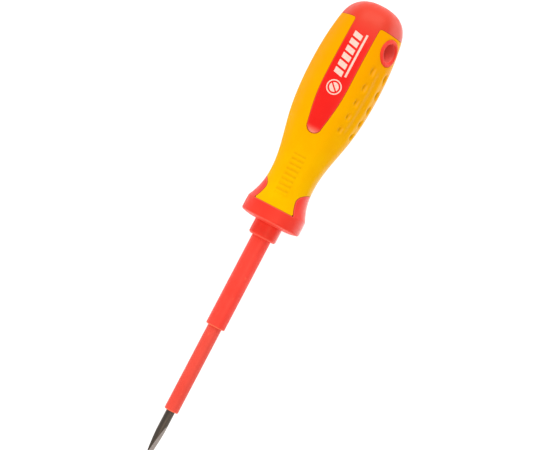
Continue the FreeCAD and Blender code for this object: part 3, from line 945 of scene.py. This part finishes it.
def guard_finish():
    colours = {
        "body": (0.88, 0.050, 0.031),
        "cloud": (0.85, 0.040, 0.026),
        "groove": (0.50, 0.015, 0.010),
        # partly edge wear, partly a painted highlight on the front rim
        "worn": (0.93, 0.130, 0.090),
        "painted_light_colour": (0.80, 0.030, 0.020),
    }
    finish = moulded("guard_red_plastic", colours, (0.34, 0.50), 0.5, 0.018)
    finish.constant(IOR=1.45, Specular_IOR_Level=0.32, Specular_Tint=(1.0, 0.7, 0.6, 1))
    finish.polished_flank(0.80, 1.0)
    return finish.material


def bush_finish():
    colours = {
        "body": (0.91, 0.055, 0.033),
        "cloud": (0.87, 0.045, 0.030),
        "groove": (0.40, 0.010, 0.012),
        "worn": (0.93, 0.120, 0.090),
        # painted light: the bore is painted lighter, as if lit inside
        "painted_light_colour": (0.97, 0.170, 0.140),
    }
    finish = moulded("bush_red_plastic", colours, (0.34, 0.44), 0.5, 0.012)
    finish.constant(IOR=1.47, Specular_Tint=(1.0, 0.45, 0.35, 1))
    return finish.material


def outer_sleeve_finish():
    colours = {
        "body": (0.95, 0.072, 0.055),
        "cloud": (0.90, 0.060, 0.044),
        "groove": (0.50, 0.020, 0.015),
        # partly edge wear, partly a painted highlight on the sleeve's end
        "worn": (0.97, 0.190, 0.100),
        "painted_light_colour": (0.90, 0.060, 0.044),
    }
    finish = moulded("thick_red_insulation", colours, (0.36, 0.48), 0.4, 0.010)
    finish.constant(IOR=1.47, Specular_Tint=(1.0, 0.4, 0.3, 1))
    return finish.material


def inner_sleeve_finish():
    colours = {
        "body": (0.85, 0.092, 0.070),
        "cloud": (0.81, 0.078, 0.058),
        "groove": (0.50, 0.030, 0.020),
        # partly edge wear, partly a painted highlight on the sleeve's end
        "worn": (0.97, 0.190, 0.100),
        "painted_light_colour": (0.87, 0.078, 0.058),
    }
    finish = moulded("thin_red_insulation", colours, (0.36, 0.50), 0.4, 0.010)
    finish.constant(IOR=1.47, Specular_Tint=(1.0, 0.4, 0.3, 1))
    return finish.material


def steel_finish():
    finish = Finish("browned_steel")
    streaks = finish.remap(finish.noise(0.5, 4.0, stretch=(0.05, 1, 1)), 0.3, 0.7, 0.0, 1.0)
    finish.connect(finish.mix(streaks, (0.17, 0.150, 0.130), (0.115, 0.098, 0.084)), "Base Color")
    finish.connect(finish.remap(finish.noise(0.8, 4.0), 0.3, 0.7, 0.50, 0.66), "Roughness")
    finish.bump(finish.noise(0.25, 3.0, stretch=(0.08, 1, 1)), 0.006)
    finish.constant(Metallic=1.0)
    return finish.material


def ground_finish():
    """Ground flats: brighter, with fine lines across the blade."""
    finish = Finish("ground_steel")
    lines = finish.remap(finish.noise(0.35, 4.0, stretch=(1, 0.04, 0.04)), 0.3, 0.7, 0.0, 1.0)
    finish.connect(finish.mix(lines, (0.33, 0.285, 0.258), (0.22, 0.187, 0.17)), "Base Color")
    finish.connect(finish.remap(lines, 0.0, 1.0, 0.28, 0.42), "Roughness")
    finish.bump(lines, 0.008)
    finish.constant(Metallic=1.0)
    return finish.material


def print_finish():
    finish = Finish("pale_print")
    worn = finish.remap(finish.noise(0.35, 5.0), 0.38, 0.62, 0.0, 1.0)
    finish.connect(finish.mix(worn, (0.96, 0.74, 0.68), (0.95, 0.55, 0.49)), "Base Color")
    finish.connect(finish.remap(worn, 0.0, 1.0, 0.38, 0.52), "Roughness")
    finish.constant(IOR=1.45)
    return finish.material


def core_finish():
    colours = {
        "body": (0.45, 0.03, 0.025),
        "cloud": (0.38, 0.02, 0.018),
        "groove": (0.25, 0.01, 0.010),
        "worn": (0.50, 0.05, 0.040),
        "painted_light_colour": (0.38, 0.02, 0.018),
    }
    finish = moulded("hard_core_plastic", colours, (0.45, 0.55), 0.5, 0.010)
    return finish.material


# ---------------------------------------------------------------- stage, light and camera


def make_floor():
    """A wide pale floor that glows evenly, and a little less on the side away from the hang hole."""
    mesh = bpy.data.meshes.new("floor")
    half = 6.0
    corners = [(-half, -half, 0), (half, -half, 0), (half, half, 0), (-half, half, 0)]
    mesh.from_pydata(corners, [], [(0, 1, 2, 3)])
    floor = bpy.data.objects.new("floor", mesh)
    bpy.context.scene.collection.objects.link(floor)
    finish = Finish("pale_floor")
    finish.connect(finish.remap(finish.noise(60.0), 0.3, 0.7, 0.62, 0.68), "Roughness")
    finish.constant(Base_Color=(0.25, 0.25, 0.25, 1), Specular_IOR_Level=0.0)
    finish.constant(Emission_Color=(1, 1, 1, 1))
    glow = finish.remap(finish.component(finish.place, "Y"), -0.03, 0.06, 0.92, 1.0)
    finish.connect(glow, "Emission Strength")
    mesh.materials.append(finish.material)


WARM = (1.0, 0.75, 0.56)
NEUTRAL = (1.0, 0.95, 0.90)


def softbox(name, direction, distance, size, watts, colour, in_reflections=True):
    """Rectangular light that faces the tool; direction is (right, up, back) as the camera sees it."""
    right, up, back = direction
    towards = (view_right * right + view_up * up + view_back * back).normalized()
    data = bpy.data.lights.new(name, "AREA")
    data.shape = "RECTANGLE"
    data.size, data.size_y = size
    data.energy = watts
    data.color = colour
    light = bpy.data.objects.new(name, data)
    light.location = towards * distance
    light.rotation_euler = towards.to_track_quat("Z", "Y").to_euler()
    light.visible_camera = False
    light.visible_glossy = in_reflections
    bpy.context.scene.collection.objects.link(light)


def make_camera():
    """Long lens, square to the tool's axis and a little to the hang hole's side."""
    centre = guard_face - along * (0.17 * MM) + right_of_tool * (2.45 * MM)
    place = centre + view_back * CAMERA_DISTANCE
    data = bpy.data.cameras.new("camera")
    data.sensor_width = 36.0
    data.lens = LENS
    data.clip_start = 0.01
    camera = bpy.data.objects.new("camera", data)
    camera.matrix_world = Matrix(
        (
            (view_right.x, view_up.x, view_back.x, place.x),
            (view_right.y, view_up.y, view_back.y, place.y),
            (view_right.z, view_up.z, view_back.z, place.z),
            (0, 0, 0, 1),
        )
    )
    bpy.context.scene.collection.objects.link(camera)
    bpy.context.scene.camera = camera


def make_light():
    world = bpy.data.worlds.new("studio")
    world.use_nodes = True
    background = world.node_tree.nodes["Background"]
    background.inputs["Color"].default_value = (1.0, 1.0, 1.0, 1)
    background.inputs["Strength"].default_value = 0.40
    bpy.context.scene.world = world
    softbox("key", (-0.80, 0.20, 0.58), 1.2, (0.8, 0.8), 4.1, WARM, in_reflections=False)
    softbox("fill", (0.30, -0.05, 0.95), 1.2, (0.6, 0.6), 3.3, WARM)
    softbox("front", (-0.50, -0.75, 0.40), 1.0, (0.5, 0.4), 3.4, WARM)
    softbox("top", (0.25, 0.78, 0.58), 1.0, (0.9, 0.7), 6.0, NEUTRAL)
    settings = bpy.context.scene.view_settings
    settings.view_transform = "Standard"
    settings.look = "None"
    settings.exposure = 0.0


# ---------------------------------------------------------------- all together


make_soft_grip()
make_butt_cap(red_finish())
guard_red = guard_finish()
make_finger_guard(guard_red)
make_nose_collar(guard_red)
outer = ("outer_sleeve_skin", "outer_sleeve", "outer_insulation", outer_sleeve_finish())
sleeve(*outer, COLLAR_END - 1.5, OUTER_END, OUTER_R, INNER_R)
inner = ("inner_sleeve_skin", "inner_sleeve", "inner_insulation", inner_sleeve_finish())
sleeve(*inner, OUTER_END - 2.1, BARE_START, INNER_R, BLADE_R)
make_hang_bush(bush_finish())
make_blade()
make_print()
core = frame["nodes"]["handle_core"]
core.data.materials.clear()
core.data.materials.append(core_finish())

make_floor()
make_light()
make_camera()
